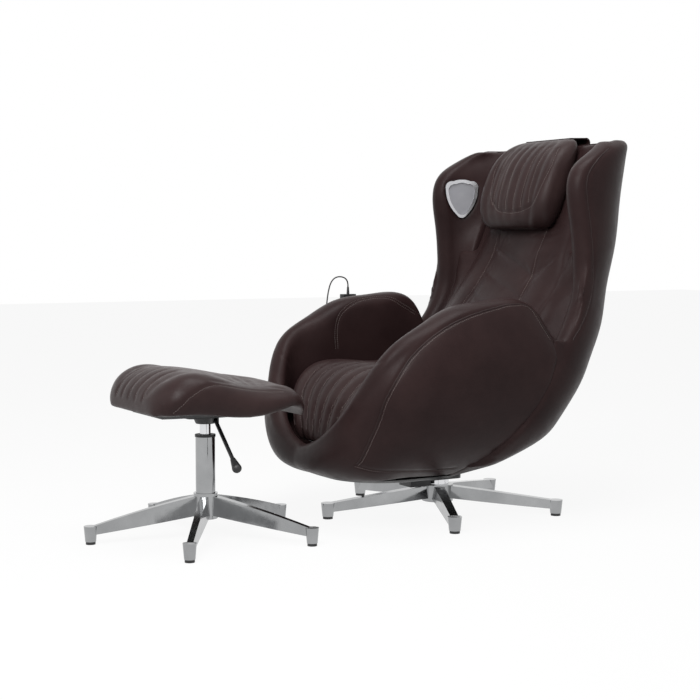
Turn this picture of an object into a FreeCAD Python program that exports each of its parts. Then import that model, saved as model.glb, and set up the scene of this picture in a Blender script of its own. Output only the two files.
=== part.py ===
import FreeCAD, Part
import math
import os

os.makedirs("parts", exist_ok=True)
V = FreeCAD.Vector

# All sizes in millimetres. The chair's swivel axis is at x = 0, y = 0, the sitter faces -Y
# and +X is the sitter's left. Heights are from the floor.

# Clearances
seat_gap = 0.5
rest_gap = 0.35
run_fit = 0.05
hug_gap = 10.0
cap_gap = 3.0
cap_depth = 1.0

# Tub wall: plan outline of its widest line, a squarish curve in front and straight sides behind
tub_half_width = 386.0
tub_front_reach = 460.0
tub_widest_y = -60.0
tub_corner_power = 3.0
tub_wall = 14.0
tub_floor = 110.0
front_floor_rise = 20.0
panel_tuck_angle = 68.0

# One row for each station of the tub wall, from the rear of an arm to the middle of the front:
# distance behind the widest line, corner angle, panel top, crown, bulge height, tuck under,
# padded thickness, inward lean of the panel, depth of the pad below the bulge
wall_rows = [
    (197, 0.0, 494, 508, 420, 300, 138, 24, 90),
    (165, 0.0, 540, 560, 425, 300, 141, 34, 95),
    (115, 0.0, 584, 604, 430, 300, 141, 40, 100),
    (60, 0.0, 592, 608, 430, 300, 141, 42, 100),
    (0, 0.0, 584, 602, 428, 300, 141, 42, 98),
    (0, 6.0, 570, 592, 425, 296, 139, 40, 95),
    (0, 17.6, 526, 558, 415, 286, 130, 34, 85),
    (0, 30.0, 484, 526, 392, 262, 104, 24, 75),
    (0, 45.0, 416, 476, 345, 215, 72, 12, 72),
    (0, 60.0, 322, 386, 275, 165, 62, 8, 66),
    (0, 75.0, 250, 286, 214, 135, 58, 6, 36),
    (0, 90.0, 198, 218, 180, 125, 56, 6, 18),
]
corner_angle = 60.0
crown_place = 0.60
crown_drop = 0.34

# Rear seam between side panel and back shell, an arc in the side view
seam_low = (-118.0, 120.0)
seam_mid = (79.0, 335.0)
seam_high = (137.0, 505.0)

# Back shell: height, distance inside the tub's widest line, rear reach, corner radius
shell_insets = [
    (160, 128, 58, 78),
    (205, 74, 152, 118),
    (260, 35, 223, 150),
    (330, 10, 267, 165),
    (400, 1, 308, 170),
    (470, 5, 342, 170),
    (540, 12, 374, 170),
    (620, 18, 392, 170),
    (720, 21, 419, 170),
    (830, 23, 435, 165),
    (920, 25, 443, 155),
    (980, 31, 445, 130),
    (1012, 46, 442, 88),
    (1036, 82, 431, 40),
]
shell_rows = [(row[0], tub_half_width - row[1], row[2], row[3]) for row in shell_insets]
shell_crown = 14.0
seam_trim = 30.0
wing_gap = 3.0
wing_skin_gap = 2.5

# Wings: height, front tip, roll radius
wing_rows = [
    (440, 146, 28),
    (495, 150, 30),
    (540, 180, 33),
    (585, 204, 35),
    (640, 219, 35),
    (720, 219, 35),
    (800, 211, 35),
    (880, 199, 35),
    (935, 206, 34),
    (980, 246, 32),
    (1008, 293, 29),
    (1030, 335, 24),
]
wing_edge_thick = 34.0
wing_edge_least = 6.0
wing_rear_room = 12.0

# Back pad: height, front face at the middle, depth of the foam
pad_rows = [
    (434, 62, 48),
    (500, 112, 50),
    (593, 179, 50),
    (703, 254, 50),
    (782, 292, 52),
    (860, 318, 83),
    (950, 349, 57),
    (1030, 384, 27.8),
]
pad_half_width = tub_half_width - 148.0
pad_seam_x = 126.0
pad_side_gap = 4.0
wing_inner_x = pad_half_width + pad_side_gap
pad_crown = 9.0

# Seat cushion: place of its top line in the side view, lean of its face, distance inside the
# tub's widest line, depth
seat_rows = [
    (72, 424, 0, 150, 92),
    (-90, 421, 0, 146, 92),
    (-230, 430, 4, 148, 100),
    (-310, 414, 32, 158, 96),
    (-362, 368, 58, 180, 78),
    (-388, 305, 78, 214, 58),
    (-396, 250, 86, 246, 46),
    (-394, 218, 90, 290, 34),
]
seat_channels = 5
seat_channel_share = 0.62
seat_channel_rise = 7.0
seat_crown = 12.0

# Headrest pillow: height, half width, thickness, rise of its channels
pillow_rows = [
    (792, 112, 26, 0.5),
    (812, 148, 62, 0.5),
    (862, 162, 84, 3),
    (925, 164, 90, 5),
    (990, 158, 82, 5),
    (1030, 142, 56, 4),
    (1048, 108, 24, 0.5),
]
pillow_channels = 5
pillow_channel_share = 0.66
pillow_clear = 4.0

# Headrest strap
strap_half_width = 105.0
strap_thick = 3.0
strap_hinge = (378.0, 1048.3)
strap_drop = 90.0
strap_rise = 2.0

# Seat pan and tilt gear
seat_pan_top = 329.0
seat_pan_thick = 12.0
seat_pan_half_width = tub_half_width - 64.0
seat_pan_rear = 205.0
seat_pan_front = -322.0
pivot_y = -50.0
pivot_z = 150.0
pivot_radius = 8.0
cheek_inner = 78.0
cheek_thick = 8.0
housing_half_width = 75.0
housing_front = -116.0
housing_rear = 36.0
housing_low = 100.0
housing_top = 142.0
foot_half_width = 30.0
foot_front = -108.0
foot_rear = -42.0
foot_low = 78.0
floor_hole_margin = 22.0
lever_x = -150.0
lever_tip_y = -164.0
lever_radius = 6.0
floor_rear = -70.0

# Chair base
base_legs = 5
chair_base_turn = 262.5
chair_base_radius = 352.0
chair_hub_radius = 44.0
chair_hub_top = 77.0
chair_tip_top = 44.0
column_radius = 31.5
post_radius = 20.0
post_seat_depth = 36.0
glide_height = 7.0

# Massage gear, in a frame that leans with the back: along the back, and behind the pad
lean_angle = 28.0
lean_origin = V(0, 165, 480)
rail_x = 130.0
rail_depth = 72.0
rail_radius = 7.0
rail_low = 10.0
rail_high = 322.0
screw_radius = 6.0
screw_depth = 82.0
bar_thick = 14.0
bar_half_length = 160.0
carriage_low = 40.0
carriage_high = 150.0
shaft_radius = 8.0
shaft_depth = 54.0
knead_x = 80.0
knead_thick = 12.0
roller_radius = 17.0
roller_width = 20.0
roller_reach = 45.0
roller_depth = 48.0
roller_pin_radius = 5.0
motor_radius = 26.0
motor_length = 60.0

# Speakers on the inner faces of the wings
speaker_centre = V(tub_half_width - 109.0, 266, 893)
speaker_turn = 25.5
speaker_width = 98.0
speaker_height = 110.0
speaker_depth = 14.0
speaker_rim = 9.0

# Handset on the outer side of the right arm
handset_y = -63.0
handset_width = 50.0
handset_thick = 22.0
handset_low = 476.0
handset_length = 124.0
handset_inner_x = -tub_half_width
holder_wall = 2.5
holder_height = 74.0
key_travel = 1.5

# Cord of the handset: its diameter, and points chosen by hand, each as distance outside the
# tub's widest line, along the arm from the handset and above the handset's top
cord_diameter = 4.0
cord_rows = [
    (11.0, 0.0, 22.0),
    (11.0, 0.0, 35.0),
    (11.5, -8.0, 48.0),
    (12.0, -26.0, 53.5),
    (12.5, -45.0, 50.0),
    (12.5, -59.0, 35.0),
    (12.0, -67.0, 10.0),
    (12.5, -71.5, -20.0),
    (15.0, -73.5, -55.0),
    (20.0, -74.0, -88.0),
    (22.5, -74.0, -116.0),
    (19.0, -73.5, -138.0),
    (9.3, -73.0, -153.0),
]
cord_route = [V(-tub_half_width - row[0], handset_y + row[1], handset_low + handset_length + row[2])
              for row in cord_rows]

# Footstool
stool_x = 33.0
stool_y = -731.0
stool_turn = 256.0
stool_base_radius = 310.0
stool_hub_radius = 31.0
stool_hub_top = 118.0
stool_tip_top = 46.0
stool_column_radius = 25.0
stool_column_top = 262.0
gas_rod_radius = 14.0
gas_rod_top = 316.0
boot_low = 296.0
plate_low = 318.0
plate_thick = 6.0
lever_pivot_x = 52.0
lever_reach = 110.0
lever_drop = 85.0
paddle_length = 30.0
paddle_radius = 12.0
# Cushion of the footstool: place along it, half width, top, thickness, rise of its channels
stool_rows = [
    (-204, 126, 370, 26, 4),
    (-190, 168, 402, 48, 4),
    (-158, 196, 428, 72, 3.5),
    (-102, 205, 443, 86, 1.5),
    (0, 205, 417, 72, 0.5),
    (90, 205, 401, 52, 0.5),
    (152, 200, 399, 34, 0.5),
    (190, 178, 378, 26, 0.5),
    (206, 140, 350, 20, 0.5),
]
stool_channels = 5
stool_channel_share = 0.60
stool_pan_inset = 60.0
stool_side_drop = 16.0

nodes = {}


def line(a, b):
    return Part.LineSegment(a, b).toShape()


def arc(a, b, c):
    return Part.Arc(a, b, c).toShape()


# A closed outline: a point is reached by a straight edge, a pair (middle, end) by an arc
def outline(start, steps, place):
    edges = []
    here = place(*start)
    first = here
    for step in steps:
        if isinstance(step[0], tuple):
            middle = place(*step[0])
            end = place(*step[1])
            edges.append(arc(here, middle, end))
        else:
            end = place(*step)
            edges.append(line(here, end))
        here = end
    if here.distanceToPoint(first) > 1e-6:
        edges.append(line(here, first))
    return Part.Wire(edges)


def loft(wires):
    solid = Part.makeLoft(wires, True, False, False, 3)
    if solid.Volume < 0:
        solid = Part.makeLoft(wires[::-1], True, False, False, 3)
    return solid


def box(x0, x1, y0, y1, z0, z1):
    return Part.makeBox(x1 - x0, y1 - y0, z1 - z0, V(x0, y0, z0))


def rod(radius, start, end):
    axis = end - start
    return Part.makeCylinder(radius, axis.Length, start, axis)


def tube(outer, inner, start, end):
    return rod(outer, start, end).cut(rod(inner, start, end))


def mirrored(shape):
    return shape.mirror(V(0, 0, 0), V(1, 0, 0))


def prism(wire, direction):
    return Part.Face(wire).extrude(direction)


# Straight-line reading of a table of rows at one height
def read_rows(rows, height, column):
    for low, high in zip(rows, rows[1:]):
        if height <= high[0] or high is rows[-1]:
            share = (height - low[0]) / (high[0] - low[0])
            return low[column] + share * (high[column] - low[column])


# Tub wall

def wall_frame(row):
    angle = math.radians(row[1])
    power = 2.0 / tub_corner_power
    depth = tub_front_reach + tub_widest_y
    across = math.cos(angle) ** power
    along = math.sin(angle) ** power
    point = V(tub_half_width * across, tub_widest_y + row[0] - depth * along, 0)
    normal = V(across ** (tub_corner_power - 1) / tub_half_width,
               -along ** (tub_corner_power - 1) / depth, 0)
    normal.normalize()

    def place(inward, height):
        return point - normal * inward + V(0, 0, height)

    return place


def widest_row():
    return [row for row in wall_rows if row[1] == 0][-1]


def floor_height(row):
    return tub_floor + front_floor_rise * row[1] / 90.0


def wall_curve(row, angle, inset):
    tuck = row[5]
    drop = row[4] - floor_height(row)
    turn = math.radians(angle)
    return (tuck - (tuck - inset) * math.cos(turn), row[4] - (drop - inset) * math.sin(turn))


def panel_wire(row):
    steps = []
    top = row[2]
    bulge = row[4]
    lean = row[7]
    middle = (bulge + top) / 2.0
    far = panel_tuck_angle
    steps.append((wall_curve(row, far * 0.75, 0), wall_curve(row, far * 0.5, 0)))
    steps.append((wall_curve(row, far * 0.25, 0), wall_curve(row, 0, 0)))
    steps.append(((lean * 0.25, middle), (lean, top)))
    steps.append((lean + tub_wall, top))
    steps.append(((lean * 0.25 + tub_wall, middle), (tub_wall, bulge)))
    steps.append((wall_curve(row, far * 0.25, tub_wall), wall_curve(row, far * 0.5, tub_wall)))
    steps.append((wall_curve(row, far * 0.75, tub_wall), wall_curve(row, far, tub_wall)))
    return outline(wall_curve(row, far, 0), steps, wall_frame(row))


def pad_wire(row):
    top = row[2] + cap_gap
    crown = row[3]
    bulge = row[4]
    inner = row[6]
    lean = row[7]
    low = bulge - row[8]
    skin = tub_wall + hug_gap
    drop = row[4] - floor_height(row) - tub_wall
    turn = math.degrees(math.asin(row[8] / drop))
    low_outer = wall_curve(row, turn, tub_wall)[0] + hug_gap
    peak = lean + (inner - lean) * crown_place
    shoulder = crown - (inner - lean) * crown_drop
    start = (lean, top)
    steps = []
    steps.append(((lean + (peak - lean) * 0.38, top + (crown - top) * 0.76), (peak, crown)))
    steps.append(((peak + (inner - peak) * 0.62, crown - (crown - shoulder) * 0.32),
                  (inner - 4, shoulder)))
    steps.append(((inner, (shoulder + low) / 2.0), (inner - 6, low)))
    steps.append((low_outer, low))
    steps.append(((skin, bulge), (lean + skin, row[2] - cap_depth)))
    steps.append((lean + skin, top))
    return outline(start, steps, wall_frame(row))


def front_loft(maker):
    left = loft([maker(row) for row in wall_rows if row[1] >= corner_angle])
    return left.fuse(mirrored(left)).removeSplitter()


def seam_circle():
    a = V(seam_low[0], seam_low[1], 0)
    b = V(seam_mid[0], seam_mid[1], 0)
    c = V(seam_high[0], seam_high[1], 0)
    circle = arc(a, b, c).Curve
    return circle.Center, circle.Radius


def seam_y(height):
    centre, radius = seam_circle()
    rise = min(max(height, seam_low[1]), seam_high[1]) - centre.y
    return centre.x + math.sqrt(radius ** 2 - rise ** 2)


def behind_seam():
    far = 600.0

    def place(y, z):
        return V(0, y - seat_gap, z)

    steps = [(seam_mid, seam_high), (seam_high[0], far), (far, far), (far, 0),
             (seam_low[0], 0), seam_low]
    return prism(outline(seam_low, steps, place), V(far, 0, 0))


def make_tub():
    side_rows = [row for row in wall_rows if row[1] <= corner_angle]
    side = loft([panel_wire(row) for row in side_rows]).cut(behind_seam())
    pad = loft([pad_wire(row) for row in side_rows])
    nodes["side_panel_left"] = side
    nodes["side_panel_right"] = mirrored(side)
    nodes["arm_pad_left"] = pad
    nodes["arm_pad_right"] = mirrored(pad)
    nodes["front_panel"] = front_loft(panel_wire)
    nodes["front_lip"] = front_loft(pad_wire)


# Back shell, wings and back pad

def shell_end(height):
    if height < wing_rows[0][0]:
        return seam_y(height) - seam_trim
    return read_rows(wing_rows, height, 1) + read_rows(wing_rows, height, 2) + wing_gap


# Left half of the back's wall at one height
def shell_wire(row):
    height, half, rear, corner = row
    end = shell_end(height)
    knee = math.sqrt(0.5)
    side_y = rear - corner
    line_y = side_y - shell_crown
    flat_x = half - corner
    inner_half = half - tub_wall
    inner_rear = rear - tub_wall

    def corner_mid(radius):
        return (flat_x + radius * knee, side_y - shell_crown / 2.0 + radius * knee)

    def rear_arc(reach, far):
        middle = (flat_x / 2.0, reach - shell_crown / 12.0)
        return (middle, far)

    steps = [(half, line_y), (corner_mid(corner), (flat_x, rear - shell_crown / 3.0)),
             rear_arc(rear, (0, rear)), (0, inner_rear),
             rear_arc(inner_rear, (flat_x, inner_rear - shell_crown / 3.0)),
             (corner_mid(corner - tub_wall), (inner_half, line_y)), (inner_half, end)]
    return outline((half, end), steps, lambda x, y: V(x, y, height))


def front_of_seam():
    far = 600.0

    def place(y, z):
        return V(-far, y + seat_gap, z)

    steps = [(seam_mid, seam_high), (seam_high[0], seam_high[1] + 10), (-far, seam_high[1] + 10),
             (-far, 0), (seam_low[0], 0), seam_low]
    return prism(outline(seam_low, steps, place), V(2 * far, 0, 0))


def make_shell():
    half = loft([shell_wire(row) for row in shell_rows]).cut(front_of_seam())
    return half.fuse(mirrored(half)).removeSplitter()


def wing_wire(row):
    height, tip, roll = row
    half = read_rows(shell_rows, height, 1)
    rear = read_rows(shell_rows, height, 2)
    corner = read_rows(shell_rows, height, 3)
    front = read_rows(pad_rows, height, 1)
    neck = tip + roll
    inner = (wing_inner_x, max(front + 20, neck + 24))
    room = rear - tub_wall - wing_rear_room - inner[1]
    edge = max(min(wing_edge_thick, room), wing_edge_least)
    skin = half - tub_wall - wing_skin_gap
    back = max(min(inner[1] + 25, rear - corner + 4), neck + 12)
    past = max(0, back - (rear - corner - shell_crown))
    skin_back = half - corner + math.sqrt((corner - tub_wall) ** 2 - past ** 2) - wing_skin_gap
    knee = roll * math.sqrt(0.5)
    middle_x = half - roll
    steps = []
    steps.append(((middle_x + knee, neck - knee), (middle_x, tip)))
    steps.append(((middle_x - knee, neck - knee), (half - 2 * roll, neck)))
    waist = ((half - 2 * roll + inner[0]) / 2.0 + 2, (neck + inner[1]) / 2.0 + 2)
    steps.append((waist, inner))
    steps.append((inner[0], inner[1] + edge))
    steps.append((min(skin, skin_back), back))
    steps.append((skin, neck))
    return outline((half, neck), steps, lambda x, y: V(x, y, height))


def back_pad_wire(row):
    height, front, depth = row
    edge = front + 26
    seam = front + 10
    low = pad_half_width
    inset = pad_seam_x
    steps = []
    bulge = (front + edge) / 2.0 - pad_crown / 2.0
    steps.append((((low + inset) / 2.0, bulge), (inset, seam)))
    steps.append(((0, front), (-inset, seam)))
    steps.append(((-(low + inset) / 2.0, bulge), (-low, edge)))
    steps.append((-low, front + depth))
    steps.append((low, front + depth))
    return outline((low, edge), steps, lambda x, y: V(x, y, height))


def make_back():
    nodes["back_shell"] = make_shell()
    wing = loft([wing_wire(row) for row in wing_rows])
    wing = wing.cut(speaker_solid(speaker_depth + seat_gap, seat_gap))
    nodes["wing_left"] = wing
    nodes["wing_right"] = mirrored(wing)
    nodes["back_pad"] = loft([back_pad_wire(row) for row in pad_rows])


# Cushions with sewn channels: an outline across the cushion, in width and height above its top

def channel_steps(half, count, share, rise, crown, depth, side):
    steps = []
    edge = half * share
    pitch = 2.0 * edge / count
    shoulder = -crown

    def valley(x):
        return -crown * (x / half) ** 2 - rise

    steps.append(((half * 0.5 + edge * 0.5, shoulder * 0.45), (edge, valley(edge))))
    for k in range(count):
        start = edge - pitch * k
        end = start - pitch
        centre = (start + end) / 2.0
        steps.append(((centre, valley(centre) + rise), (end, valley(end))))
    steps.append(((-half * 0.5 - edge * 0.5, shoulder * 0.45), (-half, -side)))
    steps.append(((-half - 3, -(side + depth) / 2.0), (-half + 8, -depth)))
    steps.append((half - 8, -depth))
    steps.append(((half + 3, -(side + depth) / 2.0), (half, -side)))
    return steps


def seat_wire(row):
    along, height, lean, inset, depth = row
    half = tub_half_width - inset
    tilt = math.radians(lean)
    up = V(0, -math.sin(tilt), math.cos(tilt))
    top = V(0, along, height)
    side = depth * 0.3
    steps = channel_steps(half, seat_channels, seat_channel_share, seat_channel_rise,
                          seat_crown, depth, side)
    return outline((half, -side), steps, lambda x, h: top + V(x, 0, 0) + up * h)


def pillow_wire(row):
    height, half, thick, rise = row
    back = read_rows(pad_rows, height, 1) - pillow_clear
    front = V(0, back - thick, height)
    side = thick * 0.45
    steps = channel_steps(half, pillow_channels, pillow_channel_share, rise,
                          thick * 0.18, thick, side)
    return outline((half, -side), steps, lambda x, h: front + V(x, -h, 0))


def stool_wire(row):
    along, half, top, thick, rise = row
    middle = V(stool_x, stool_y + along, top)
    side = thick * 0.35 + stool_side_drop * half / stool_rows[3][1]
    steps = channel_steps(half, stool_channels, stool_channel_share, rise,
                          stool_side_drop * 0.6, thick + stool_side_drop, side)
    return outline((half, -side), steps, lambda x, h: middle + V(x, 0, h))


def make_cushions():
    wide = 2 * seat_pan_half_width
    under = box(-wide, wide, seat_pan_front - seat_gap, wide, 0, seat_pan_top + seat_gap)
    nodes["seat_cushion"] = loft([seat_wire(row) for row in seat_rows]).cut(under)
    nodes["headrest_pillow"] = loft([pillow_wire(row) for row in pillow_rows])


def make_strap():
    y, z = strap_hinge
    rear = shell_rows[-3][2] + seat_gap
    rise = strap_rise
    steps = [(rear - 14, z + rise), ((rear - 3, z + rise - 4), (rear, z + rise - 16)),
             (rear, z - strap_drop), (rear + strap_thick, z - strap_drop),
             (rear + strap_thick, z + rise - 16),
             ((rear, z + rise - 1), (rear - 14, z + rise + strap_thick)), (y, z + strap_thick)]
    wire = outline((y, z), steps, lambda a, b: V(-strap_half_width, a, b))
    nodes["headrest_strap"] = prism(wire, V(2 * strap_half_width, 0, 0))


# Speakers: a shield with three rounded corners, standing on the wing's inner face

def shield_wire(grow):
    half = speaker_width / 2.0 + grow
    top = speaker_height * 0.42 + grow
    low = -speaker_height * 0.58 - grow
    steps = [((0, top + 5), (half - 22, top)),
             ((half - 4, top - 6), (half, top - 24)),
             ((half * 0.72, low * 0.45), (14, low + 8)),
             ((0, low), (-14, low + 8)),
             ((-half * 0.72, low * 0.45), (-half, top - 24)),
             ((-half + 4, top - 6), (22 - half, top))]
    return outline((22 - half, top), steps, lambda s, t: V(0, s, t))


def speaker_place(shape):
    shape.rotate(V(0, 0, 0), V(0, 0, 1), speaker_turn)
    shape.translate(speaker_centre)
    return shape


def speaker_solid(depth, grow):
    front = 4.0 + 40.0 * (grow > 0)
    shape = prism(shield_wire(grow), V(depth + front, 0, 0))
    shape.translate(V(-front, 0, 0))
    return speaker_place(shape)


def make_speakers():
    rim = speaker_solid(speaker_depth, 0)
    well = prism(shield_wire(-speaker_rim), V(speaker_depth, 0, 0))
    well.translate(V(-4, 0, 0))
    rim = rim.cut(speaker_place(well))
    grille = prism(shield_wire(-speaker_rim - seat_gap), V(3, 0, 0))
    grille = speaker_place(grille)
    for side, turn in (("left", lambda s: s), ("right", mirrored)):
        nodes["speaker_bezel_" + side] = turn(rim)
        nodes["speaker_grille_" + side] = turn(grille)


# Seat pan, floor pan and tilt gear

def make_pans():
    corner = 120.0
    wide = seat_pan_half_width
    narrow = wide - corner
    points = [(wide, seat_pan_rear - corner), (wide, seat_pan_front + 2 * corner),
              (narrow, seat_pan_front), (-narrow, seat_pan_front),
              (-wide, seat_pan_front + 2 * corner), (-wide, seat_pan_rear - corner),
              (-narrow, seat_pan_rear)]
    low = seat_pan_top - seat_pan_thick
    wire = outline((narrow, seat_pan_rear), points, lambda x, y: V(x, y, low))
    nodes["seat_pan"] = prism(wire, V(0, 0, seat_pan_thick))
    rim = wall_curve(widest_row(), panel_tuck_angle, 0)[1] - rest_gap
    dish = loft([floor_wire(rim - 12, 30.0), floor_wire(rim - 6, 10.0), floor_wire(rim, seat_gap)])
    nodes["floor_pan"] = dish.cut(tilt_hole())


def tilt_hole():
    margin = floor_hole_margin
    return box(-housing_half_width - margin, housing_half_width + margin, housing_front - margin,
               housing_rear + margin, 0, pivot_z + pivot_radius + margin)


def floor_wire(height, inset):
    reach = wall_curve(widest_row(), panel_tuck_angle, 0)[0] + inset
    half = tub_half_width - reach
    front = -tub_front_reach + wall_curve(wall_rows[-1], panel_tuck_angle, 0)[0] + inset
    rear = floor_rear - inset
    radius = 150.0
    knee = radius * (1 - math.sqrt(0.5))
    steps = [(half, front + radius), ((half - knee, front + knee), (half - radius, front)),
             (radius - half, front), ((knee - half, front + knee), (-half, front + radius)),
             (-half, rear)]
    return outline((half, rear), steps, lambda x, y: V(x, y, height))


def make_tilt_gear():
    pin_reach = cheek_inner + cheek_thick + 6
    housing = box(-housing_half_width, housing_half_width, housing_front, housing_rear,
                  housing_low, housing_top)
    edges = [e for e in housing.Edges if abs(e.Vertexes[0].Z - e.Vertexes[1].Z) > 1]
    housing = housing.makeFillet(18, edges)
    boss = rod(pivot_radius + 10, V(-housing_half_width, pivot_y, pivot_z),
               V(housing_half_width, pivot_y, pivot_z))
    foot = box(-foot_half_width, foot_half_width, foot_front, foot_rear, foot_low, housing_low + 1)
    housing = housing.fuse([boss, foot])
    pin_hole = rod(pivot_radius, V(-pin_reach, pivot_y, pivot_z), V(pin_reach, pivot_y, pivot_z))
    socket = rod(post_radius, V(0, 0, housing_low), V(0, 0, housing_low + post_seat_depth))
    nodes["tilt_housing"] = housing.cut(pin_hole).cut(socket)
    nodes["tilt_pin"] = pin_hole
    cheek_high = seat_pan_top - seat_pan_thick - seat_gap
    plate_thick_here = 8.0
    cheeks = []
    for sign in (-1, 1):
        x0 = cheek_inner * sign
        x1 = (cheek_inner + cheek_thick) * sign
        steps = [((pivot_y, pivot_z - 22), (pivot_y + 22, pivot_z)), (90, cheek_high),
                 (-190, cheek_high)]
        wire = outline((pivot_y - 22, pivot_z), steps, lambda y, z: V(min(x0, x1), y, z))
        cheeks.append(prism(wire, V(cheek_thick, 0, 0)))
    top = box(-cheek_inner - cheek_thick, cheek_inner + cheek_thick, -190, 90,
              cheek_high - plate_thick_here, cheek_high)
    bore = rod(pivot_radius + run_fit, V(-pin_reach, pivot_y, pivot_z),
               V(pin_reach, pivot_y, pivot_z))
    nodes["tilt_bracket"] = top.fuse(cheeks).removeSplitter().cut(bore)
    stub = V(-10, housing_front + 16, housing_low - 3)
    elbow = V(lever_x, stub.y, stub.z)
    tip = V(lever_x, lever_tip_y, stub.z)
    radius = lever_radius
    lever = rod(radius, stub, elbow).fuse(Part.makeSphere(radius, elbow))
    lever = lever.fuse(rod(radius, elbow, tip)).fuse(Part.makeSphere(radius, tip))
    nodes["tilt_lever"] = lever.fuse(rod(radius, tip, tip - V(0, 0, 20))).removeSplitter()
    bearing = rod(radius + run_fit, stub - V(-2, 0, 0), elbow)
    nodes["tilt_housing"] = nodes["tilt_housing"].cut(bearing)


# Star bases

def leg_wire(reach, half_top, half_low, low, high):
    return outline((-half_low, low), [(half_low, low), (half_top, high), (-half_top, high)],
                   lambda s, z: V(reach, s, z))


def star_base(radius, hub_radius, hub_top, hub_low, rows, tip_top, turn, foot):
    shape = rod(hub_radius, V(0, 0, hub_low), V(0, 0, hub_top))
    foot_low = glide_height
    leg = loft([leg_wire(*row) for row in rows])
    foot_radius = foot / 2.0
    leg = leg.fuse(Part.makeCone(foot_radius * 0.8, foot_radius, tip_top - foot_low,
                                 V(radius - foot_radius, 0, foot_low)))
    for k in range(base_legs):
        one = leg.copy()
        one.rotate(V(0, 0, 0), V(0, 0, 1), turn + 360.0 / base_legs * k)
        shape = shape.fuse(one)
    return shape.removeSplitter()


def glide_ring(radius, foot, turn):
    glides = []
    for k in range(base_legs):
        glide = Part.makeCylinder(foot * 0.36, glide_height, V(radius - foot / 2.0, 0, 0))
        glide.rotate(V(0, 0, 0), V(0, 0, 1), turn + 360.0 / base_legs * k)
        glides.append(glide)
    return Part.makeCompound(glides)


def make_chair_base():
    foot = 38.0
    rows = [(chair_hub_radius - 12, 15, 21, 40, chair_hub_top - 3),
            (chair_base_radius * 0.55, 12, 17, 28, 58),
            (chair_base_radius - foot * 0.6, 11, 15, 20, chair_tip_top - 1)]
    base = star_base(chair_base_radius, chair_hub_radius, chair_hub_top, 30.0, rows,
                     chair_tip_top, chair_base_turn, foot)
    bore = rod(column_radius, V(0, 0, 20), V(0, 0, chair_hub_top + 5))
    nodes["chair_star_base"] = base.cut(bore)
    nodes["chair_glides"] = glide_ring(chair_base_radius, foot, chair_base_turn)
    column_top = housing_low - seat_gap
    bush = 4.0
    nodes["chair_column_tube"] = tube(column_radius, post_radius + bush, V(0, 0, 30),
                                      V(0, 0, column_top))
    nodes["swivel_bush"] = tube(post_radius + bush, post_radius + run_fit, V(0, 0, 32),
                                V(0, 0, column_top))
    nodes["swivel_post"] = rod(post_radius, V(0, 0, 34), V(0, 0, housing_low + post_seat_depth))


# Massage gear behind the back pad

def lean_place(shape):
    shape.rotate(V(0, 0, 0), V(1, 0, 0), -lean_angle)
    shape.translate(lean_origin)
    return shape


# A box, rod or tube in the leaning frame: x, depth behind the pad, distance along the back
def lean_box(x0, x1, d0, d1, u0, u1):
    return lean_place(box(x0, x1, d0, d1, u0, u1))


def lean_rod(radius, a, b):
    return lean_place(rod(radius, V(*a), V(*b)))


def make_back_frame():
    bars = []
    for low in (rail_low - bar_thick, rail_high):
        bar = lean_box(-bar_half_length, bar_half_length, rail_depth - 16, rail_depth + 18,
                       low, low + bar_thick)
        bars.append(bar)
    far = tub_front_reach
    floor = box(-far, far, -far, far, 0, seat_pan_top + seat_gap)
    for sign in (-1, 1):
        x0 = sign * bar_half_length
        upright = lean_box(min(x0, x0 + sign * 10), max(x0, x0 + sign * 10), rail_depth - 16,
                           rail_depth + 18, -190, rail_high + bar_thick)
        bars.append(upright.cut(floor))
    frame = bars[0].fuse(bars[1:]).removeSplitter()
    screw_seat = lean_rod(screw_radius + run_fit, (0, screw_depth, rail_low - bar_thick - 1),
                          (0, screw_depth, rail_high + bar_thick + 1))
    nodes["back_frame"] = frame.cut(screw_seat)
    rails = []
    for sign in (-1, 1):
        rails.append(lean_rod(rail_radius, (sign * rail_x, rail_depth, rail_low),
                              (sign * rail_x, rail_depth, rail_high)))
    nodes["guide_rails"] = Part.makeCompound(rails)
    nodes["lead_screw"] = lean_rod(screw_radius, (0, screw_depth, rail_low - bar_thick - 6),
                                   (0, screw_depth, rail_high + bar_thick - 2))
    top = rail_low - bar_thick - seat_gap
    motor = lean_rod(motor_radius, (0, screw_depth, top - motor_length), (0, screw_depth, top))
    hollow = lean_rod(screw_radius + run_fit, (0, screw_depth, top - 12), (0, screw_depth, top + 1))
    nodes["lift_motor"] = motor.cut(hollow)


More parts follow.
